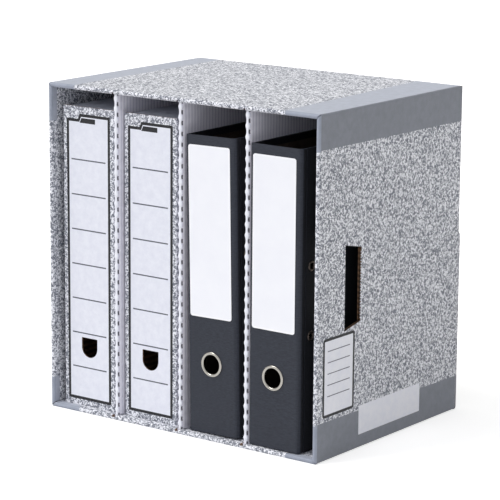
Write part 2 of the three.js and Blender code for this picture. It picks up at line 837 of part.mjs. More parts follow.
function pinGeometry() {
  const reach = leverArmWidth / 2 + seatGap + earThick + seatGap;
  return geometryOf(bar(
    pinDiameter,
    at(plateFace + pinHeight, pinInset, coverMiddle - reach),
    at(plateFace + pinHeight, pinInset, coverMiddle + reach),
  ));
}

// Roller on the pin, between the cheeks of the lever
function rollerGeometry() {
  const roller = bar(
    rollerDiameter,
    at(plateFace + pinHeight, pinInset, coverMiddle - rollerLength / 2),
    at(plateFace + pinHeight, pinInset, coverMiddle + rollerLength / 2),
  );
  const bore = bar(
    pinDiameter + 2 * seatGap,
    at(plateFace + pinHeight, pinInset, coverMiddle - rollerLength),
    at(plateFace + pinHeight, pinInset, coverMiddle + rollerLength),
  );
  return geometryOf(cut(roller, bore));
}

// Compressor bar, down on the collars of the posts
function compressorGeometry() {
  const x = plateFace + plateThick + seatGap + plateThick + seatGap;
  const half = pressLength / 2;
  const strip = carryX(
    evenOutline(
      postInset - pressWidth / 2 + pressLift, coverMiddle - half,
      postInset + pressWidth / 2 + pressLift, coverMiddle + half, pressRadius,
    ),
    x, x + pressThick, 5,
  );
  const holes = punchHeights.map((z) => bar(
    pressHole, at(x - cutMargin, postInset, z), at(x + pressThick + cutMargin, postInset, z),
  ));
  return geometryOf(cut(strip, ...holes));
}

// U-shaped metal guard round the bottom edge of one cover
function guardGeometry(side) {
  const w = leverWidth;
  const x0 = -guardClearance - guardThick;
  const x1 = leverBoard + guardClearance + guardThick;
  const y0 = guardInset;
  const y1 = guardInset + guardLength;
  const channel = cut(
    block(x0, x1, y0, y1, 0, coverFoot + guardHeight),
    block(
      x0 + guardThick, x1 - guardThick, y0 - cutMargin, y1 + cutMargin,
      guardThick, coverFoot + guardHeight + cutMargin,
    ),
  );
  if (side === 'left') return geometryOf(channel);
  return geometryOf(channel.mirror([1, 0, 0]).translate([w, 0, 0]));
}

function leverArchFile(number) {
  const file = new THREE.Group();
  const name = `arch_file_${number}`;
  file.add(piece(`${name}_cover`, coverGeometry(), clothBoard));
  file.add(piece(`${name}_lining`, liningGeometry(), liningPaper));
  file.add(piece(`${name}_label`, labelGeometry(), labelPaper));
  file.add(piece(`${name}_thumb_ring`, thumbRingGeometry(), nickel));
  file.add(piece(`${name}_eyelet_low`, eyeletGeometry(punchHeights[0]), nickel));
  file.add(piece(`${name}_eyelet_high`, eyeletGeometry(punchHeights[1]), nickel));
  file.add(piece(`${name}_base_plate`, plateGeometry(), nickel));
  file.add(piece(`${name}_post_low`, postGeometry(punchHeights[0]), nickel));
  file.add(piece(`${name}_post_high`, postGeometry(punchHeights[1]), nickel));
  file.add(piece(`${name}_arches`, archesGeometry(), nickel));
  file.add(piece(`${name}_lever`, leverGeometry(), nickel));
  file.add(piece(`${name}_lever_pin`, pinGeometry(), nickel));
  file.add(piece(`${name}_roller`, rollerGeometry(), plastic));
  file.add(piece(`${name}_compressor`, compressorGeometry(), plastic));
  file.add(piece(`${name}_guard_left`, guardGeometry('left'), nickel));
  file.add(piece(`${name}_guard_right`, guardGeometry('right'), nickel));
  return file;
}

// The third bay's file leans to the left until its head nears the divider
function leaningFile() {
  const file = leverArchFile(1);
  const lean = Math.asin((leanFootGap - leanTopGap) / leverHeight);
  file.rotation.y = -lean;
  file.position.set(bayLeft(2) + leanFootGap, frontY + leverRecess, fileFloor);
  return file;
}

function uprightFile() {
  const file = leverArchFile(2);
  const left = bayLeft(3) + rightFileGap + guardThick + guardClearance;
  file.position.set(left, frontY + rightFileRecess, fileFloor);
  return file;
}

const fileStore = new THREE.Group();
fileStore.add(piece('case', storeGeometry(), printedBoard));
for (let index = 0; index < bayCount - 1; index += 1) {
  fileStore.add(piece(`divider_${index + 1}`, dividerGeometry(index), whiteBoard));
}
transferBayGaps.forEach((gap, bay) => fileStore.add(transferFile(bay + 1, bay)));
fileStore.add(leaningFile());
fileStore.add(uprightFile());

export default fileStore;
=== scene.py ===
import math

import bmesh
import bpy
from mathutils import Matrix, Vector


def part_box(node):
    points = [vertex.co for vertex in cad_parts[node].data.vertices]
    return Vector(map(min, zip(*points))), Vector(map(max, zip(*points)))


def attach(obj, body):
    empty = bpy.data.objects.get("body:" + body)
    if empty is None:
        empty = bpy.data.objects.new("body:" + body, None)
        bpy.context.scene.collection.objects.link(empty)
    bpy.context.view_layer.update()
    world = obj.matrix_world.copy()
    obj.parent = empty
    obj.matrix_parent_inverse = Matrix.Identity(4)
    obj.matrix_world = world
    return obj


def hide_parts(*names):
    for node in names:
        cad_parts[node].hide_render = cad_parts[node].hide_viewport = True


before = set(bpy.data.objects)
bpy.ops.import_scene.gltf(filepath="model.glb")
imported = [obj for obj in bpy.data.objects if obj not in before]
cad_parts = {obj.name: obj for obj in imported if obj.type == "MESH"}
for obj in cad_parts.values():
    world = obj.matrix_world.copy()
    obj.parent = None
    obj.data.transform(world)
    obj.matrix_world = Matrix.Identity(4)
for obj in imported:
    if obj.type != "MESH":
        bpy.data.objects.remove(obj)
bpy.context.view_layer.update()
scene = bpy.context.scene
mm = 0.001  # lengths below are written in millimetres
print("frame loaded:", len(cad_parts), "nodes")


def boxOf(node):
    low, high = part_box(node)
    return low / mm, high / mm


# The store's main sizes, taken from the frame
caseLow, caseHigh = boxOf("case")
board = 2.7  # outer ply
wall = 5.5  # both plies of a wall
halfWidth = caseHigh.x
height = caseHigh.z
frontY = caseLow.y
rearY = caseHigh.y - board  # the rear flap stands proud of this by its own thickness
bend = 3.2  # a little more than the bend of the outer ply
hemRear = frontY + wall / 2  # the rounded hem round the mouth ends here

# How faces are found: by where their middle lies, within a slack, and by their normal's share of an axis
slack = 0.05
leaning = 0.3
facing = 0.5


def toLinear(hexColour):
    values = [int(hexColour[i:i + 2], 16) / 255 for i in (1, 3, 5)]
    return [v / 12.92 if v <= 0.04045 else ((v + 0.055) / 1.055) ** 2.4 for v in values] + [1.0]


def addNode(tree, kind, inputs=None, **settings):
    node = tree.nodes.new(kind)
    for name, value in settings.items():
        setattr(node, name, value)
    for name, value in (inputs or {}).items():
        if isinstance(value, bpy.types.NodeSocket):
            tree.links.new(value, node.inputs[name])
        else:
            node.inputs[name].default_value = value
    return node


def startMaterial(name, **values):
    material = bpy.data.materials.new(name)
    material.use_nodes = True
    tree = material.node_tree
    tree.nodes.clear()
    shader = addNode(tree, "ShaderNodeBsdfPrincipled", values)
    addNode(tree, "ShaderNodeOutputMaterial", {"Surface": shader.outputs["BSDF"]})
    place = addNode(tree, "ShaderNodeTexCoord").outputs["Object"]
    return material, tree, shader, place


def addRamp(tree, factor, stops):
    ramp = addNode(tree, "ShaderNodeValToRGB", {"Fac": factor})
    points = ramp.color_ramp.elements
    while len(points) < len(stops):
        points.new(0.5)
    for point, (position, colour) in zip(points, stops):
        point.position = position
        point.color = toLinear(colour)
    return ramp.outputs["Color"]


def addBump(tree, shader, heightSocket, distance):
    bump = addNode(tree, "ShaderNodeBump", {"Height": heightSocket, "Distance": distance * mm})
    tree.links.new(bump.outputs["Normal"], shader.inputs["Normal"])


def noiseScale(period):
    return 1 / (period * mm)  # one light and one dark patch in this many millimetres


def waveScale(period):
    return math.pi / 10 / (period * mm)  # the Wave texture repeats every pi / 10 at a scale of 1


# Speckled print: grey ink mottled over white-lined board, so worm-like patches and a faint washboard
# from the flutes. The grain is drawn as coarse as it needs to be to show
speckleLook = {
    "period": 2.75,
    "distortion": 1.0,
    "stops": [(0.42, "#6E727D"), (0.49, "#A4A7B0"), (0.56, "#EEEFF5")],
    "flute": 6.5,
    "fluteDepth": 0.05,
}


def makeSpeckle():
    look = speckleLook
    material, tree, shader, place = startMaterial("speckled_print_board", Roughness=0.62, IOR=1.46)
    spots = addNode(tree, "ShaderNodeTexNoise", {
        "Vector": place, "Scale": noiseScale(look["period"]), "Detail": 1.6, "Roughness": 0.6,
        "Distortion": look["distortion"],
    })
    colour = addRamp(tree, spots.outputs["Fac"], look["stops"])
    tree.links.new(colour, shader.inputs["Base Color"])
    flutes = addNode(tree, "ShaderNodeTexWave", {
        "Vector": place, "Scale": waveScale(look["flute"]), "Distortion": 0.6, "Detail": 1.0,
    }, wave_type="BANDS", bands_direction="Y", wave_profile="SIN")
    addBump(tree, shader, flutes.outputs["Fac"], look["fluteDepth"])
    return material


# Plain ink or smooth paper: an even colour with a slight cloud in it, and the tooth of the paper
inkLook = {"cloudLow": 0.35, "cloudHigh": 0.65, "tooth": 0.8, "toothDepth": 0.03}


def makeInk(name, light, dark, rough=0.6, period=9):
    look = inkLook
    material, tree, shader, place = startMaterial(name, Roughness=rough, IOR=1.46)
    cloud = addNode(tree, "ShaderNodeTexNoise", {
        "Vector": place, "Scale": noiseScale(period), "Detail": 5.0, "Roughness": 0.65,
    })
    colour = addRamp(tree, cloud.outputs["Fac"], [(look["cloudLow"], dark), (look["cloudHigh"], light)])
    tree.links.new(colour, shader.inputs["Base Color"])
    tooth = addNode(tree, "ShaderNodeTexNoise", {
        "Vector": place, "Scale": noiseScale(look["tooth"]), "Detail": 3.0,
    })
    addBump(tree, shader, tooth.outputs["Fac"], look["toothDepth"])
    return material


# White liner: unprinted face of the board, the flutes show through as faint upright lines
linerLook = {"flute": 5.5, "light": "#E9E8F2", "dark": "#CFCEDC", "fluteDepth": 0.12}


def makeLiner():
    look = linerLook
    material, tree, shader, place = startMaterial("white_liner_board", Roughness=0.7, IOR=1.46)
    flutes = addNode(tree, "ShaderNodeTexWave", {
        "Vector": place, "Scale": waveScale(look["flute"]), "Distortion": 1.2,
        "Detail": 2.0, "Detail Scale": 0.6,
    }, wave_type="BANDS", bands_direction="Y", wave_profile="SIN")
    colour = addRamp(tree, flutes.outputs["Fac"], [(0.0, look["dark"]), (0.55, look["light"])])
    tree.links.new(colour, shader.inputs["Base Color"])
    addBump(tree, shader, flutes.outputs["Fac"], look["fluteDepth"])
    return material


# Kraft: cut edges and bare board, brown fibres, darker between the flutes
kraftLook = {"fibre": 3.5, "flute": 6.5, "light": "#7C6049", "dark": "#503B2B", "relief": 0.25}


def makeKraft():
    look = kraftLook
    material, tree, shader, place = startMaterial("kraft_board", Roughness=0.85, IOR=1.45)
    fibre = addNode(tree, "ShaderNodeTexNoise", {
        "Vector": place, "Scale": noiseScale(look["fibre"]), "Detail": 6.0, "Roughness": 0.7,
        "Distortion": 0.4,
    })
    flutes = addNode(tree, "ShaderNodeTexWave", {
        "Vector": place, "Scale": waveScale(look["flute"]), "Distortion": 1.5,
    }, wave_type="BANDS", bands_direction="Z", wave_profile="SIN")
    mixed = addNode(tree, "ShaderNodeMath", {
        0: fibre.outputs["Fac"], 1: flutes.outputs["Fac"],
    }, operation="MULTIPLY")
    colour = addRamp(tree, mixed.outputs["Value"], [(0.05, look["dark"]), (0.5, look["light"])])
    tree.links.new(colour, shader.inputs["Base Color"])
    addBump(tree, shader, mixed.outputs["Value"], look["relief"])
    return material


# Embossed covering paper: charcoal, fine level streaks pressed in, slight sheen on the high points
coverLook = {
    "light": "#323640", "dark": "#262932", "streakLong": 5, "streakHigh": 1.2, "gloss": 0.25,
    "relief": 0.05,
}


def makeCoverPaper(name, light, dark, rough):
    look = coverLook
    gloss = {"Specular IOR Level": look["gloss"]}
    material, tree, shader, place = startMaterial(name, Roughness=rough, **gloss)
    along, across = 1 / look["streakLong"] / mm, 1 / look["streakHigh"] / mm
    stretch = addNode(tree, "ShaderNodeMapping", {"Vector": place, "Scale": (along, along, across)})
    streaks = addNode(tree, "ShaderNodeTexNoise", {
        "Vector": stretch.outputs["Vector"], "Scale": 1.0, "Detail": 4.0, "Roughness": 0.7,
        "Distortion": 0.3,
    })
    colour = addRamp(tree, streaks.outputs["Fac"], [(0.35, dark), (0.68, light)])
    tree.links.new(colour, shader.inputs["Base Color"])
    addBump(tree, shader, streaks.outputs["Fac"], look["relief"])
    return material


# Metal: nickel plate is bright with faint rubbing marks, rolled steel is duller and brushed lengthwise
metalLook = {"marks": 2.5, "marksDepth": 0.01, "spread": 0.25}


def makeMetal(name, colour, rough, stretchY):
    look = metalLook
    material, tree, shader, place = startMaterial(name, Metallic=1.0, **{"Base Color": toLinear(colour)})
    stretch = addNode(tree, "ShaderNodeMapping", {"Vector": place, "Scale": (1.0, stretchY, 1.0)})
    marks = addNode(tree, "ShaderNodeTexNoise", {
        "Vector": stretch.outputs["Vector"], "Scale": noiseScale(look["marks"]), "Detail": 4.0,
    })
    roughness = addNode(tree, "ShaderNodeMapRange", {
        "Value": marks.outputs["Fac"], "From Min": 0.3, "From Max": 0.7,
        "To Min": rough * (1 - look["spread"]), "To Max": rough * (1 + look["spread"]),
    })
    tree.links.new(roughness.outputs["Result"], shader.inputs["Roughness"])
    addBump(tree, shader, marks.outputs["Fac"], look["marksDepth"])
    return material


# Moulded plastic: even colour, a fine spark-eroded grain
plasticLook = {"grain": 1.2, "grainDepth": 0.03}


def makePlastic(name, light, dark, rough):
    look = plasticLook
    material, tree, shader, place = startMaterial(name, Roughness=rough, IOR=1.5)
    grain = addNode(tree, "ShaderNodeTexNoise", {
        "Vector": place, "Scale": noiseScale(look["grain"]), "Detail": 3.0,
    })
    colour = addRamp(tree, grain.outputs["Fac"], [(0.3, dark), (0.7, light)])
    tree.links.new(colour, shader.inputs["Base Color"])
    addBump(tree, shader, grain.outputs["Fac"], look["grainDepth"])
    return material


looks = {
    "speckle": makeSpeckle(),
    "band": makeInk("grey_band_print", "#B0B5C2", "#A6ABB7"),
    # the grey band print darkened on the front hems and on the side walls: painted shade
    "hemBandPaintedShade": makeInk("grey_hem_print_painted_shade", "#9AA0AE", "#9096A4"),
    "wallBandPaintedShade": makeInk("grey_band_print_painted_wall_shade", "#828690", "#7A7E86"),
    "liner": makeLiner(),
    "kraft": makeKraft(),
    # dark grey in the perforation slots at the dividers' fold: painted shade
    "cut": makeInk("shadowed_cut", "#5C5A64", "#4C4A54", 0.9),
    # the grey print of the carton's top, made far paler than its own tone: painted light
    "lid": makeInk("grey_lid_print_painted_light", "#D8DCE6", "#CCD0DA"),
    "frameInk": makeInk("black_frame_print", "#16171D", "#101116", 0.6),
    "field": makeInk("white_field_print", "#F0F1F8", "#E8EAF4", 0.55),
    "spineField": makeInk("white_spine_print", "#E5E7F0", "#DCDEE9", 0.55),
    "rule": makeInk("grey_rule_print", "#585C66", "#4E525C", 0.55),
    "cover": makeCoverPaper("embossed_cover_paper", coverLook["light"], coverLook["dark"], 0.5),
    "coverPaintedShade": makeCoverPaper("embossed_paper_painted_shade", "#1F2127", "#14151A", 0.7),
    # the cover paper darkened for the covers' broad sides: painted shade
    "turnIn": makeCoverPaper("turned_in_paper", "#202227", "#15161A", 0.6),
    "lining": makeInk("brown_lining_paper", "#4A3E36", "#3A302A", 0.8, 14),
    "label": makeInk("white_label_paper", "#F1F2F7", "#EEEFF5", 0.6, 30),
    "rim": makeInk("label_rim_paper", "#F8F8FB", "#F2F3F7", 0.45, 30),
    "nickel": makeMetal("nickel_plate", "#A5A29C", 0.22, 1.0),
    # a darker, browner copy of the nickel plate for the eyelets: painted shade
    "nickelPaintedShade": makeMetal("nickel_plate_painted_shade", "#6A615B", 0.3, 1.0),
    "steel": makeMetal("rolled_steel", "#B4B6BA", 0.38, 0.08),
    "blackPlastic": makePlastic("black_moulded_plastic", "#242426", "#18181A", 0.45),
    "whitePlastic": makePlastic("white_moulded_plastic", "#E4E4DF", "#D8D8D2", 0.4),
}
print("materials made:", len(looks))


# Meshes and pieces

def addPiece(name, bm, finishes, replaced=(), smoothAngle=35, evenShading=False):
    mesh = bpy.data.meshes.new(name)
    bm.to_mesh(mesh)
    bm.free()
    for finish in finishes:
        mesh.materials.append(looks[finish])
    mesh.shade_smooth()
    mesh.set_sharp_from_angle(angle=math.radians(smoothAngle))
    piece = bpy.data.objects.new(name, mesh)
    scene.collection.objects.link(piece)
    if evenShading:  # keeps the large flat faces flat beside their rounded edges
        even = piece.modifiers.new("even_shading", "WEIGHTED_NORMAL")
        even.mode = "FACE_AREA"
        even.weight = 100
        even.keep_sharp = True
    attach(piece, "root")
    if replaced:
        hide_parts(*replaced)
    return piece


def copyOf(node):
    bm = bmesh.new()
    bm.from_mesh(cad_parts[node].data)
    bmesh.ops.remove_doubles(bm, verts=bm.verts, dist=1e-6)
    for face in bm.faces:
        face.material_index = 0
    return bm


def meshOf(bm):
    mesh = bpy.data.meshes.new("part")
    bm.to_mesh(mesh)
    bm.free()
    return mesh


def toMetres(bm):
    bmesh.ops.scale(bm, vec=(mm, mm, mm), verts=bm.verts)


def addSlab(bm, low, high, index):
    made = bmesh.ops.create_cube(bm, size=1.0)["verts"]
    low, high = Vector(low), Vector(high)
    bmesh.ops.scale(bm, vec=high - low, verts=made)
    bmesh.ops.translate(bm, vec=(low + high) / 2, verts=made)
    for face in {face for vert in made for face in vert.link_faces}:
        face.material_index = index
    return made


def thicken(bm, faces, offset):
    grown = bmesh.ops.extrude_face_region(bm, geom=faces, use_keep_orig=True)["geom"]
    moved = [part for part in grown if isinstance(part, bmesh.types.BMVert)]
    bmesh.ops.translate(bm, vec=offset, verts=moved)


def addRim(bm, plate, width):
    return bmesh.ops.inset_region(bm, faces=[plate], thickness=width, use_boundary=True,
                                  use_even_offset=True)["faces"]


def splitFaces(bm, chosen, point, normal):
    faces = [face for face in bm.faces if chosen(face.calc_center_median() / mm, face.normal)]
    parts = set(faces)
    for face in faces:
        parts.update(face.edges)
        parts.update(face.verts)
    bmesh.ops.bisect_plane(bm, geom=list(parts), plane_co=Vector(point) * mm, plane_no=normal, dist=1e-6)


# The store: printed bands along its folded edges, speckle between them
caseLook = {
    "sideTop": (40, 42),  # front and rear end of a band's edge, from the fold
    "sideLow": (46, 42),
    "topLeft": (40, 36),
    "topRight": (48, 61),
    "floorSide": 44,
    "stripLeft": (37, 45.7),  # low and high end of an upright hem's bands
    "stripRight": (44.6, 41.6),
    "stripTop": (40, 47),  # left and right end of a level hem's bands
    "stripLow": (45, 42),
    "liningBand": 7,
    "flapBand": 44,
    "finishes": ["speckle", "band", "liner", "kraft", "wallBandPaintedShade", "hemBandPaintedShade"],
}


def onSide(c, n):
    return abs(c.x) > halfWidth - bend and n.x * math.copysign(1, c.x) > leaning and c.y > hemRear


def onTop(c, n):
    return c.z > height - bend and n.z > leaning and c.y > hemRear


def onFloor(c, n):
    return c.z < bend and n.z < -leaning and c.y > hemRear


def onHem(c, n):
    return c.y < hemRear + slack


def onSideHem(c, n):
    return onHem(c, n) and abs(c.x) > halfWidth - wall - slack


def onLevelHem(c, n):
    return onHem(c, n) and (c.z < wall + slack or c.z > height - wall - slack)


def onBack(c, n):
    return c.y > rearY - slack and n.y > facing


def onFlap(c, n):
    return onBack(c, n) and c.y > rearY + board / 2


def onSideLining(c):
    return abs(abs(c.x) - halfWidth + wall) < 2 * slack


def onLining(c, n):
    sideways = onSideLining(c) and n.x * c.x < 0
    level = min(abs(c.z - wall), abs(c.z - height + wall)) < 2 * slack and n.z * (height / 2 - c.z) > 0
    return (sideways or level) and c.y > hemRear


def edgeAt(pair, c):
    share = (c.y - frontY) / (rearY - frontY)
    return pair[0] + (pair[1] - pair[0]) * share


# True in a band, False in the speckle, None where the board isn't printed
def inkOf(c, n):
    look = caseLook
    if onSideHem(c, n) and not (onLevelHem(c, n) and abs(n.x) < leaning):
        low, high = look["stripRight"] if c.x > 0 else look["stripLeft"]
        return c.z < low or c.z > height - high
    if onLevelHem(c, n):
        left, right = look["stripTop"] if c.z > height / 2 else look["stripLow"]
        return c.x < -halfWidth + left or c.x > halfWidth - right
    if onSide(c, n):
        return c.z > height - edgeAt(look["sideTop"], c) or c.z < edgeAt(look["sideLow"], c)
    if onTop(c, n):
        return c.x < -halfWidth + edgeAt(look["topLeft"], c) or c.x > halfWidth - edgeAt(look["topRight"], c)
    if onFloor(c, n):
        return abs(c.x) > halfWidth - look["floorSide"]
    if onFlap(c, n):
        return abs(c.x) > halfWidth - look["flapBand"]
    if onBack(c, n):
        return c.z > height - look["sideTop"][1] or c.z < look["sideLow"][1]
    if onLining(c, n):
        if c.y > hemRear + look["liningBand"]:
            return False
        if onSideLining(c):
            return c.z < look["stripRight"][0] or c.z > height - look["stripRight"][1]
        return abs(c.x) > halfWidth - look["stripTop"][0]
    return None


def finishOf(c, n):
    ink = inkOf(c, n)
    if ink:
        # bands on the hems and the side walls take the darker copies of the band print: painted shade
        return "hemBandPaintedShade" if onHem(c, n) else "wallBandPaintedShade" if onSide(c, n) else "band"
    if ink is not None:
        return "speckle"
    insideRear = n.y < -facing and c.y > rearY - 3 * board and wall < c.z < height - wall
    return "liner" if insideRear else "kraft"


# Cuts the faces of one side along the edges of its bands, so that each face takes one finish
def splitBands(bm, side):
    look = caseLook
    depth = rearY - frontY
    word, end = ("Right", 1) if side > 0 else ("Left", 0)
    low, high = look["strip" + word]
    liningFrom = halfWidth - wall - 1  # past this, the lining is that of a side wall
    acrossX, acrossZ = (1, 0, 0), (0, 0, 1)
    for z, edge in ((height, look["sideTop"]), (0, look["sideLow"])):
        inward = -1 if z else 1
        slope = inward * (edge[1] - edge[0])
        splitFaces(bm, lambda c, n: onSide(c, n) and c.x * side > 0,
                   (0, frontY, z + inward * edge[0]), Vector((0, -slope, depth)).normalized())
    for z in (low, height - high):
        splitFaces(bm, lambda c, n: onSideHem(c, n) and c.x * side > 0, (0, 0, z), acrossZ)
        splitFaces(bm, lambda c, n: onLining(c, n) and c.x * side > liningFrom, (0, 0, z), acrossZ)
    edge = look["top" + word]
    slope = -side * (edge[1] - edge[0])
    splitFaces(bm, onTop, (side * (halfWidth - edge[0]), frontY, 0), Vector((depth, -slope, 0)).normalized())
    splitFaces(bm, onFloor, (side * (halfWidth - look["floorSide"]), 0, 0), acrossX)
    splitFaces(bm, lambda c, n: onLevelHem(c, n) and c.z > height / 2,
               (side * (halfWidth - look["stripTop"][end]), 0, 0), acrossX)
    splitFaces(bm, lambda c, n: onLevelHem(c, n) and c.z < height / 2,
               (side * (halfWidth - look["stripLow"][end]), 0, 0), acrossX)
    splitFaces(bm, lambda c, n: onLining(c, n) and abs(c.x) < liningFrom,
               (side * (halfWidth - look["stripTop"][0]), 0, 0), acrossX)
    splitFaces(bm, onFlap, (side * (halfWidth - look["flapBand"]), 0, 0), acrossX)


def makeCase():
    look = caseLook
    bm = copyOf("case")
    for side in (-1, 1):
        splitBands(bm, side)
    for z in (height - look["sideTop"][1], look["sideLow"][1]):
        splitFaces(bm, lambda c, n: onBack(c, n) and not onFlap(c, n), (0, 0, z), (0, 0, 1))
    splitFaces(bm, onLining, (0, hemRear + look["liningBand"], 0), (0, 1, 0))
    for face in bm.faces:
        finish = finishOf(face.calc_center_median() / mm, face.normal)
        face.material_index = look["finishes"].index(finish)
    addPiece("case_board", bm, look["finishes"], ["case"], 35, True)


makeCase()


# Fringe of torn fibres along the rear edge of each hand hole, left by the perforated cut
fringeLook = {
    "pitch": 3.3, "reach": 1.3, "sunk": 0.25, "rear": 84.4, "low": 152, "high": 234,
    "rootShare": 0.34, "tipShare": 0.1, "flatten": 0.5,  # a tooth's ends, as shares of the pitch
}


def makeFringe(name, side):
    look = fringeLook
    bm = bmesh.new()
    count = int((look["high"] - look["low"]) / look["pitch"])
    x = side * (halfWidth - look["sunk"])
    y = frontY + look["rear"] - look["reach"] / 2
    for row in range(count):
        z = look["low"] + (row + 0.5) * look["pitch"]
        tooth = bmesh.ops.create_cone(
            bm, segments=3, cap_ends=True, radius1=look["pitch"] * look["rootShare"],
            radius2=look["pitch"] * look["tipShare"], depth=look["reach"],
        )["verts"]
        bmesh.ops.scale(bm, vec=(look["flatten"], 1, 1), verts=tooth)
        bmesh.ops.rotate(bm, matrix=Matrix.Rotation(math.radians(90), 3, "X"), verts=tooth)
        bmesh.ops.translate(bm, vec=(x, y, z), verts=tooth)
    toMetres(bm)
    addPiece(name, bm, ["liner"])


makeFringe("hand_hole_fringe_right", 1)
makeFringe("hand_hole_fringe_left", -1)

# Printed panels low on the right wall: a white panel with a dark border, and a pale plaque on the band
panelLook = {
    "panelFront": 12, "panelRear": 73.5, "panelLow": 50.5, "panelHigh": 141.5,
    "border": 3.2, "corner": 4, "cornerSteps": 6, "thick": 0.12,
    "plaqueFront": 84, "plaqueRear": 211, "plaqueLow": 16, "plaqueHigh": 50,
    "rules": 5, "ruleInset": 9, "firstRule": 15, "ruleThick": 1.0, "rulePitch": 13,
    "finishes": ["frameInk", "field", "rule"],
}


# One plate on the right wall, in a bmesh of its own: a field, inside a border where it has one
def startPlate(name):
    look = panelLook
    front, rear, low, high = (look[name + edge] for edge in ("Front", "Rear", "Low", "High"))
    bm = bmesh.new()
    made = bmesh.ops.create_grid(bm, x_segments=1, y_segments=1, size=0.5)["verts"]
    bmesh.ops.scale(bm, vec=(rear - front, high - low, 1), verts=made)
    bmesh.ops.rotate(bm, matrix=Matrix(((0, 0, 1), (1, 0, 0), (0, 1, 0))), verts=made)
    bmesh.ops.translate(bm, vec=(halfWidth, frontY + (front + rear) / 2, (low + high) / 2), verts=made)
    return bm


def makePlaque():
    bm = startPlate("plaque")
    plate = list(bm.faces)
    plate[0].material_index = panelLook["finishes"].index("field")
    thicken(bm, plate, (panelLook["thick"], 0, 0))
    return bm


def makePanel():
    look = panelLook
    bm = startPlate("panel")
    bmesh.ops.bevel(bm, geom=bm.verts, offset=look["corner"], segments=look["cornerSteps"], profile=0.5,
                    affect="VERTICES", material=-1)
    plate = max(bm.faces, key=lambda face: face.calc_area())
    rim = addRim(bm, plate, look["border"])
    for face in rim:
        face.material_index = look["finishes"].index("frameInk")
    plate.material_index = look["finishes"].index("field")
    thicken(bm, [plate] + rim, (look["thick"], 0, 0))
    return bm


def makePanels():
    look = panelLook
    panel = meshOf(makePanel())
    bm = makePlaque()
    y0 = frontY + look["panelFront"] + look["ruleInset"]
    y1 = frontY + look["panelRear"] - look["ruleInset"]
    half = look["ruleThick"] / 2
    for row in range(look["rules"]):
        z = look["panelHigh"] - look["firstRule"] - row * look["rulePitch"]
        addSlab(bm, (halfWidth + look["thick"] / 2, y0, z - half),
                (halfWidth + look["thick"] * 1.5, y1, z + half), look["finishes"].index("rule"))
    bm.from_mesh(panel)
    bpy.data.meshes.remove(panel)
    toMetres(bm)
    bmesh.ops.recalc_face_normals(bm, faces=bm.faces)
    addPiece("side_panel_print", bm, look["finishes"])


makePanels()
print("store made")

# Dividers: doubled board folded at a perforated front edge, which bulges between its cuts
dividerLook = {
    "thick": 2.7, "wave": 0.8, "waveBack": 0.4, "pitch": 12.4, "cutLength": 5.2, "stepsPerPitch": 10,
    "edge": [(0, 30, 0), (0, 6, 0.1), (0.1, 2.4, 0.75), (0.7, 0.7, 1), (1.9, 0, 0.3)],
    "foldFront": 1.1, "foldRear": 2.4,
    "low": 5.8, "high": 389.2, "tabLow": 3.3, "tabDepth": 96, "tabFront": 0.8,
    "finishes": ["liner", "cut", "field"],
}


# The outline seen from above, from the rear of the left leaf round the front to the rear of the right
# one. The look's edge gives each point's place inward and back, and its share of the wave
def dividerOutline(x0, x1, y0, y1):
    leaf = [(x0, y1, 0)] + [(x0 + inward, y0 + back, share) for inward, back, share in dividerLook["edge"]]
    return leaf + [(x0 + x1 - x, y, share) for x, y, share in reversed(leaf)]


def makeDivider(node):
    look = dividerLook
    low, high = boxOf(node)
    x0, x1, y0, y1 = low.x, high.x, low.y, high.y
    outline = dividerOutline(x0, x1, y0, y1)
    rows = int((look["high"] - look["low"]) / look["pitch"] * look["stepsPerPitch"])
    bm = bmesh.new()
    bmesh.ops.create_grid(bm, x_segments=len(outline) - 1, y_segments=rows, size=0.5)
    middle = (x0 + x1) / 2
    for vert in bm.verts:
        x, y, share = outline[round((vert.co.x + 0.5) * (len(outline) - 1))]
        z = look["low"] + (vert.co.y + 0.5) * (look["high"] - look["low"])
        drawn = look["wave"] * (1 - math.cos(2 * math.pi * z / look["pitch"])) * share
        vert.co = Vector((x - math.copysign(drawn, x - middle), y + drawn * look["waveBack"], z))
    # faces by the cuts on the fold take the dark grey, painted shade in the slots
    for face in bm.faces:
        c = face.calc_center_median()
        phase = (c.z / look["pitch"]) % 1 - 0.5
        nearCut = abs(phase) * look["pitch"] < look["cutLength"] / 2
        atFold = y0 + look["foldFront"] < c.y < y0 + look["foldRear"]
        finish = "cut" if nearCut and atFold else "field" if c.y < y0 + look["foldFront"] else "liner"
        face.material_index = look["finishes"].index(finish)
    bmesh.ops.recalc_face_normals(bm, faces=bm.faces)
    front = min(bm.faces, key=lambda face: face.calc_center_median().y)
    if front.normal.y > 0:
        bmesh.ops.reverse_faces(bm, faces=bm.faces)
    bmesh.ops.solidify(bm, geom=bm.faces, thickness=look["thick"])
    tabs = ((look["tabLow"], look["low"]), (look["high"], height - look["tabLow"]))
    for z0, z1 in tabs:
        addSlab(bm, (x0, y0 + look["tabFront"], z0), (x0 + look["thick"], y0 + look["tabDepth"], z1), 0)
    toMetres(bm)
    addPiece(node + "_board", bm, look["finishes"], [node], 50)


for number in (1, 2, 3):
    makeDivider(f"divider_{number}")
print("dividers made")

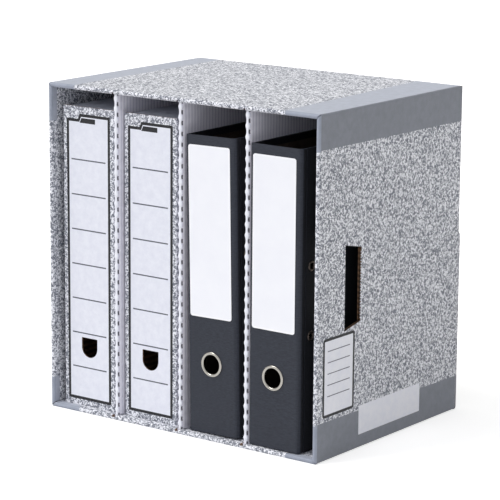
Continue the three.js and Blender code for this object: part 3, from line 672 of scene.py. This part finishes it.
# Transfer files: speckled carton with a printed frame, a writing field and its rules on the spine
transferLook = {
    "skin": 1.8, "outward": 0.2, "lidLow": 6, "lidHigh": 1,
    "margin": 5.9, "border": 3.4, "foot": 6.7, "lowTop": 15, "highTop": 8.8,
    "stepStart": 0.26, "stepEnd": 0.30,  # shares of the frame's width, as the bar's ends are
    "barStart": 0.30, "barEnd": 0.66, "barSlant": 2.8, "barThick": 5.8, "barGap": 1.3,
    "firstRule": 48.4, "rulePitch": 42, "rules": 7, "ruleThick": 1.5, "ruleInset": 3.5,
    "printThick": 0.12, "inkProud": 0.06, "inkSunk": 0.02,
    "slotRadius": 12, "slotLow": 60, "slotSteps": 48, "cutterDepth": 4,
    "finishes": ["speckle", "lid", "kraft"],
    "printFinishes": ["frameInk", "spineField", "rule"],
}


def onCartonOutside(c, n, low, high):
    skin, outward = transferLook["skin"], transferLook["outward"]
    return (
        c.x < low.x + skin and n.x < -outward or c.x > high.x - skin and n.x > outward
        or c.y < low.y + skin and n.y < -outward or c.y > high.y - skin and n.y > outward
        or c.z < low.z + 2 * slack and n.z < -facing
    )


def makeCarton(node):
    look = transferLook
    low, high = boxOf(node)
    bm = copyOf(node)
    for face in bm.faces:
        c, n = face.calc_center_median() / mm, face.normal
        if onCartonOutside(c, n, low, high):
            finish = "speckle"
        # the carton's top takes the paler grey print: painted light
        elif n.z > facing and high.z - look["lidLow"] < c.z < high.z - look["lidHigh"]:
            finish = "lid"
        else:
            finish = "kraft"
        face.material_index = look["finishes"].index(finish)
    addPiece(node + "_board", bm, look["finishes"], [node], 35, True)


# The printed frame, with a step in its upper edge, and the white field inside it
def startSpinePrint(low, high):
    look = transferLook
    x0, x1 = low.x + look["margin"], high.x - look["margin"]
    width = x1 - x0
    zLow, zSide, zTop = low.z + look["foot"], high.z - look["lowTop"], high.z - look["highTop"]
    corners = [
        (x0, zLow), (x1, zLow), (x1, zTop), (x0 + width * look["stepEnd"], zTop),
        (x0 + width * look["stepStart"], zSide), (x0, zSide),
    ]
    bm = bmesh.new()
    plate = bm.faces.new([bm.verts.new((x, low.y, z)) for x, z in corners])
    plate.normal_update()
    rim = addRim(bm, plate, look["border"])
    for face in rim:
        face.material_index = look["printFinishes"].index("frameInk")
    plate.material_index = look["printFinishes"].index("spineField")
    thicken(bm, [plate] + rim, (0, -look["printThick"], 0))
    bmesh.ops.recalc_face_normals(bm, faces=bm.faces)
    return bm


# The thumb opening through the field: round below, square above
def cutThumbOpening(piece, low, high):
    look = transferLook
    radius = look["slotRadius"]
    centre = Vector(((low.x + high.x) / 2, low.y, low.z + look["slotLow"] + radius))
    bm = bmesh.new()
    bmesh.ops.create_cone(bm, segments=look["slotSteps"], cap_ends=True, radius1=radius, radius2=radius,
                          depth=look["cutterDepth"])
    bmesh.ops.rotate(bm, matrix=Matrix.Rotation(math.radians(90), 3, "X"), verts=bm.verts)
    for vert in bm.verts:
        if vert.co.z > 1e-4:
            grow = radius / max(abs(vert.co.x), abs(vert.co.z))
            vert.co.x *= grow
            vert.co.z *= grow
        vert.co += centre
    cutterMesh = meshOf(bm)
    cutter = bpy.data.objects.new("cutter", cutterMesh)
    scene.collection.objects.link(cutter)
    hole = piece.modifiers.new("thumb_opening", "BOOLEAN")
    hole.operation = "DIFFERENCE"
    hole.solver = "EXACT"
    hole.object = cutter
    evaluated = piece.evaluated_get(bpy.context.evaluated_depsgraph_get())
    cutMesh = bpy.data.meshes.new_from_object(evaluated)
    piece.modifiers.clear()
    bm = bmesh.new()
    bm.from_mesh(cutMesh)
    bpy.data.objects.remove(cutter)
    bpy.data.meshes.remove(cutterMesh)
    bpy.data.meshes.remove(cutMesh)
    return bm


# Rules across the field, and the slanted bar under the raised part of the frame
def addSpineInk(bm, low, high):
    look = transferLook
    x0, x1 = low.x + look["margin"], high.x - look["margin"]
    width = x1 - x0
    front = low.y - look["printThick"]
    near, far = front - look["inkProud"], front + look["inkSunk"]
    inset = look["border"] + look["ruleInset"]
    half = look["ruleThick"] / 2
    for row in range(look["rules"]):
        z = high.z - look["lowTop"] - look["firstRule"] - row * look["rulePitch"]
        addSlab(bm, (x0 + inset, near, z - half), (x1 - inset, far, z + half),
                look["printFinishes"].index("rule"))
    barTop = high.z - look["highTop"] - look["border"] - look["barGap"]
    barLow = barTop - look["barThick"]
    barFrom, barTo = x0 + width * look["barStart"], x0 + width * look["barEnd"]
    bar = addSlab(bm, (barFrom, near, barLow), (barTo, far, barTop), look["printFinishes"].index("frameInk"))
    for vert in bar:
        if vert.co.z > (barLow + barTop) / 2 and vert.co.x < (barFrom + barTo) / 2:
            vert.co.x += look["barSlant"]


def makeSpinePrint(number):
    low, high = boxOf(f"transfer_file_{number}_carton")
    piece = addPiece(f"transfer_file_{number}_print", startSpinePrint(low, high),
                     transferLook["printFinishes"])
    bm = cutThumbOpening(piece, low, high)
    addSpineInk(bm, low, high)
    toMetres(bm)
    bm.to_mesh(piece.data)
    bm.free()


for number in (1, 2):
    makeCarton(f"transfer_file_{number}_carton")
    makeSpinePrint(number)
    for part in ("clip_base", "clip_bar"):
        node = f"transfer_file_{number}_{part}"
        addPiece(node + "_moulding", copyOf(node), ["whitePlastic"], [node], 40)
print("transfer files made")

# Lever arch files. Each has a frame of its own: left cover outside at x 0, spine at y 0, guards' foot at z 0
archLook = {
    "width": 70, "board": 2.5, "gap": 0.3, "spineLean": 0.2, "sideLean": 0.9,
    "leanTop": 2.3, "leanFoot": 9.1, "coverHeight": 347, "coverFoot": 0.7,
    "files": {1: {"recess": 7, "lean": True}, 2: {"recess": 4.5, "lean": False}},
    "finishes": ["cover", "turnIn", "coverPaintedShade"],
}


def placeOf(number):
    look = archLook
    file = look["files"][number]
    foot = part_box("arch_file_2_guard_left")[0].z / mm
    if file["lean"]:
        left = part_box("divider_2")[1].x / mm + look["leanFoot"]
        angle = -math.asin((look["leanFoot"] - look["leanTop"]) / look["coverHeight"])
    else:
        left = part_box(f"arch_file_{number}_cover")[0].x / mm
        angle = 0
    return Matrix.Translation((left, frontY + file["recess"], foot)) @ Matrix.Rotation(angle, 4, "Y")


# Inner faces take the turned-in paper; the covers' broad outer faces take a darker copy of the cover paper,
# painted shade for their dim light
def coverFinish(c, n):
    board, width = archLook["board"], archLook["width"]
    inLeft = abs(c.x - board) < 2 * slack and n.x > facing
    inRight = abs(c.x - width + board) < 2 * slack and n.x < -facing
    inSpine = c.y > board - 2 * slack and n.y > archLook["spineLean"] and board < c.x < width - board
    if inLeft or inRight or inSpine:
        return "turnIn"
    return "coverPaintedShade" if abs(n.x) > archLook["sideLean"] else "cover"


def makeCover(number):
    node = f"arch_file_{number}_cover"
    back = placeOf(number).inverted()
    turn = back.to_3x3()
    bm = copyOf(node)
    for face in bm.faces:
        finish = coverFinish(back @ (face.calc_center_median() / mm), turn @ face.normal)
        face.material_index = archLook["finishes"].index(finish)
    addPiece(node + "_board", bm, archLook["finishes"], [node], 30, True)


# The label: paper with a lighter raised rim
labelLook = {"rim": 2.2, "step": 0.12, "finishes": ["label", "rim"]}


def makeLabel(number):
    look = labelLook
    node = f"arch_file_{number}_label"
    bm = copyOf(node)
    bmesh.ops.dissolve_limit(bm, angle_limit=math.radians(1), verts=bm.verts, edges=bm.edges)
    outward = placeOf(number).to_3x3() @ Vector((0, -1, 0))
    paper = max(bm.faces, key=lambda face: face.normal.dot(outward) * face.calc_area())
    bmesh.ops.inset_region(bm, faces=[paper], thickness=look["rim"] * mm, use_even_offset=True)
    for face in bm.faces:
        face.material_index = look["finishes"].index("label" if face == paper else "rim")
    bmesh.ops.translate(bm, vec=-outward * look["step"] * mm, verts=paper.verts)
    addPiece(node + "_paper", bm, look["finishes"], [node], 30)


# Pressed rings: a spun section with a domed flange outside, a barrel through the board, a rolled lip inside
ringLook = {
    "thumb": {"outer": 14.75, "hole": 11.3, "wall": 0.25, "crown": 1.45, "lip": 0.7, "steps": 72},
    "eyelet": {"outer": 6, "hole": 3.5, "wall": 0.7, "crown": 1.0, "lip": 0.5, "steps": 48},
    "flangeEdge": 0.12, "domeSteps": 8, "lipShoulder": 0.6,
    "spineMiddle": 33, "thumbHeight": 82.5, "eyeletInset": 20, "punch": 80,
}


# Points of a ring's section as radius and depth, round from the flange's inner edge
def ringSection(look):
    gap, edge, steps = archLook["gap"], ringLook["flangeEdge"], ringLook["domeSteps"]
    hole, outer = look["hole"], look["outer"]
    middle, half = (hole + outer) / 2, (outer - hole) / 2
    dome = []
    for step in range(steps + 1):
        angle = math.pi * step / steps
        dome.append((middle - half * math.cos(angle), -gap - edge - (look["crown"] - edge) * math.sin(angle)))
    barrel, lip = hole + look["wall"], hole + 2 * look["wall"]
    inside = archLook["board"] + gap
    shoulder = inside + look["lip"] * ringLook["lipShoulder"]
    return dome + [
        (outer, -gap), (barrel, -gap), (barrel, inside), (lip, inside), (lip, shoulder),
        (barrel, inside + look["lip"]), (hole, shoulder),
    ]


def makeRing(node, look, matrix, finish):
    section = ringSection(look)
    bm = bmesh.new()
    verts = [bm.verts.new((radius, depth, 0)) for radius, depth in section]
    edges = [bm.edges.new((verts[i], verts[(i + 1) % len(verts)])) for i in range(len(verts))]
    bmesh.ops.spin(bm, geom=verts + edges, cent=(0, 0, 0), axis=(0, 1, 0), angle=2 * math.pi,
                   steps=look["steps"], use_merge=True)
    bmesh.ops.remove_doubles(bm, verts=bm.verts, dist=1e-4)
    bmesh.ops.recalc_face_normals(bm, faces=bm.faces)
    bmesh.ops.transform(bm, matrix=Matrix.Scale(mm, 4) @ matrix, verts=bm.verts)
    addPiece(node + "_pressing", bm, [finish], [node], 40)


# The rest of each lever arch file keeps its form: its slot, its finish and the angle it is smoothed to
mechanism = {
    "lining": ("lining_paper", "lining", 30),
    "base_plate": ("nickel", "nickel", 30),
    "post_low": ("nickel", "nickel", 50),
    "post_high": ("nickel", "nickel", 50),
    "arches": ("nickel", "nickel", 60),
    "lever": ("nickel", "nickel", 40),
    "lever_pin": ("nickel", "nickel", 50),
    "roller": ("black_plastic", "blackPlastic", 50),
    "compressor": ("black_plastic", "blackPlastic", 40),
    "guard_left": ("guard_steel", "steel", 30),
    "guard_right": ("guard_steel", "steel", 30),
}


def makeArchFile(number):
    place = placeOf(number)
    name = f"arch_file_{number}"
    foot = archLook["coverFoot"]
    middle = foot + archLook["coverHeight"] / 2
    makeCover(number)
    makeLabel(number)
    spot = Matrix.Translation((ringLook["spineMiddle"], 0, foot + ringLook["thumbHeight"]))
    makeRing(f"{name}_thumb_ring", ringLook["thumb"], place @ spot, "nickel")
    turned = Matrix.Rotation(math.radians(90), 4, "Z")
    for word, side in (("low", -1), ("high", 1)):
        z = middle + side * ringLook["punch"] / 2
        spot = Matrix.Translation((archLook["width"], ringLook["eyeletInset"], z))
        # the eyelets take the darker copy of the nickel: painted shade
        makeRing(f"{name}_eyelet_{word}", ringLook["eyelet"], place @ spot @ turned, "nickelPaintedShade")
    for part, (slot, finish, angle) in mechanism.items():
        node = f"{name}_{part}"
        addPiece(node + "_finished", copyOf(node), [finish], [node], angle, True)


for number in (1, 2):
    makeArchFile(number)
print("lever arch files made")

# Floor and light: a pale floor in a white surround, soft light from high on the left, and a sky that
# lights the object most from the front. Lengths here are in metres
studio = {
    "floorSize": 12.0, "floorColour": "#E8E8E8", "floorGlow": 0.55,
    "warmLight": (1.0, 0.985, 0.94, 1.0), "coolLight": (0.96, 0.98, 1.06, 1.0), "white": (1.0, 1.0, 1.0, 1.0),
    "rearStrength": 0.5, "frontStrength": 0.92, "rearFrom": 0.3, "frontFrom": -1.0,
    "sunStrength": 1.72, "sunColour": (1.0, 0.99, 0.965), "sunAngle": 30, "sunFrom": (-0.42, -0.38, 0.82),
}


# 1 for rays from the camera, off metal and through glass, which see the white surround; 0 for light
def seenShare(tree):
    rays = addNode(tree, "ShaderNodeLightPath")
    seen = rays.outputs["Is Camera Ray"]
    for kind in ("Is Glossy Ray", "Is Transmission Ray"):
        both = addNode(tree, "ShaderNodeMath", {0: seen, 1: rays.outputs[kind]}, operation="MAXIMUM")
        seen = both.outputs["Value"]
    return seen


def makeFloor():
    bm = bmesh.new()
    bmesh.ops.create_grid(bm, x_segments=1, y_segments=1, size=studio["floorSize"] / 2)
    mesh = bpy.data.meshes.new("floor")
    bm.to_mesh(mesh)
    bm.free()
    floor = bpy.data.objects.new("floor", mesh)
    scene.collection.objects.link(floor)
    material = bpy.data.materials.new("pale_floor")
    material.use_nodes = True
    tree = material.node_tree
    tree.nodes.clear()
    matt = addNode(tree, "ShaderNodeBsdfDiffuse", {"Color": toLinear(studio["floorColour"])})
    strength = addNode(tree, "ShaderNodeMath", {
        0: seenShare(tree), 1: studio["floorGlow"],
    }, operation="MULTIPLY")
    glow = addNode(tree, "ShaderNodeEmission", {
        "Color": studio["white"], "Strength": strength.outputs["Value"],
    })
    both = addNode(tree, "ShaderNodeAddShader", {0: matt.outputs["BSDF"], 1: glow.outputs["Emission"]})
    addNode(tree, "ShaderNodeOutputMaterial", {"Surface": both.outputs["Shader"]})
    mesh.materials.append(material)


def makeWorld():
    world = bpy.data.worlds.new("studio")
    scene.world = world
    world.use_nodes = True
    tree = world.node_tree
    tree.nodes.clear()
    seen = seenShare(tree)
    direction = addNode(tree, "ShaderNodeSeparateXYZ", {
        "Vector": addNode(tree, "ShaderNodeTexCoord").outputs["Generated"],
    })
    frontShare = addNode(tree, "ShaderNodeMapRange", {
        "Value": direction.outputs["Y"], "From Min": studio["rearFrom"], "From Max": studio["frontFrom"],
        "To Min": 0.0, "To Max": 1.0,
    })
    light = addNode(tree, "ShaderNodeMapRange", {
        "Value": frontShare.outputs["Result"],
        "To Min": studio["rearStrength"], "To Max": studio["frontStrength"],
    })
    strength = addNode(tree, "ShaderNodeMapRange", {
        "Value": seen, "To Min": light.outputs["Result"], "To Max": 1.0,
    })
    tint = addNode(tree, "ShaderNodeMixRGB", {
        "Fac": frontShare.outputs["Result"], "Color1": studio["warmLight"], "Color2": studio["coolLight"],
    })
    colour = addNode(tree, "ShaderNodeMixRGB", {
        "Fac": seen, "Color1": tint.outputs["Color"], "Color2": studio["white"],
    })
    sky = addNode(tree, "ShaderNodeBackground", {
        "Color": colour.outputs["Color"], "Strength": strength.outputs["Result"],
    })
    addNode(tree, "ShaderNodeOutputWorld", {"Surface": sky.outputs["Background"]})


def makeSun():
    lamp = bpy.data.lights.new("softbox", "SUN")
    lamp.energy = studio["sunStrength"]
    lamp.color = studio["sunColour"]
    lamp.angle = math.radians(studio["sunAngle"])
    sun = bpy.data.objects.new("softbox", lamp)
    sun.matrix_world = Vector(studio["sunFrom"]).to_track_quat("Z", "Y").to_matrix().to_4x4()
    scene.collection.objects.link(sun)


makeFloor()
makeWorld()
makeSun()

# Camera at the photograph's viewpoint: its angles, its distance and the lens, worked out from the store's
# corners. The focal length and the image are in pixels
view = {
    "azimuth": 36.78, "elevation": 12.13, "roll": 0.43, "distance": 2872.4,
    "offsetX": -5.135, "offsetZ": -2.765, "focal": 2407, "image": 500, "sensor": 36, "clipEnd": 100,
}


def makeCamera():
    azimuth, elevation, roll = (math.radians(view[key]) for key in ("azimuth", "elevation", "roll"))
    target = Vector((
        view["offsetX"] * math.cos(azimuth), view["offsetX"] * math.sin(azimuth) - board / 2,
        height / 2 + view["offsetZ"],
    ))
    backward = Vector((
        math.sin(azimuth) * math.cos(elevation), -math.cos(azimuth) * math.cos(elevation),
        math.sin(elevation),
    ))
    forward = -backward
    right = forward.cross(Vector((0, 0, 1))).normalized()
    up = right.cross(forward)
    turnedRight = right * math.cos(roll) + up * math.sin(roll)
    turnedUp = -right * math.sin(roll) + up * math.cos(roll)
    lens = bpy.data.cameras.new("camera")
    lens.sensor_width = view["sensor"]
    lens.lens = view["sensor"] * view["focal"] / view["image"]
    lens.clip_end = view["clipEnd"]
    camera = bpy.data.objects.new("camera", lens)
    place = Matrix((turnedRight, turnedUp, backward)).transposed().to_4x4()
    place.translation = (target + backward * view["distance"]) * mm
    camera.matrix_world = place
    scene.collection.objects.link(camera)
    scene.camera = camera


makeCamera()
scene.view_settings.view_transform = "Standard"
print("stage, light and camera set")
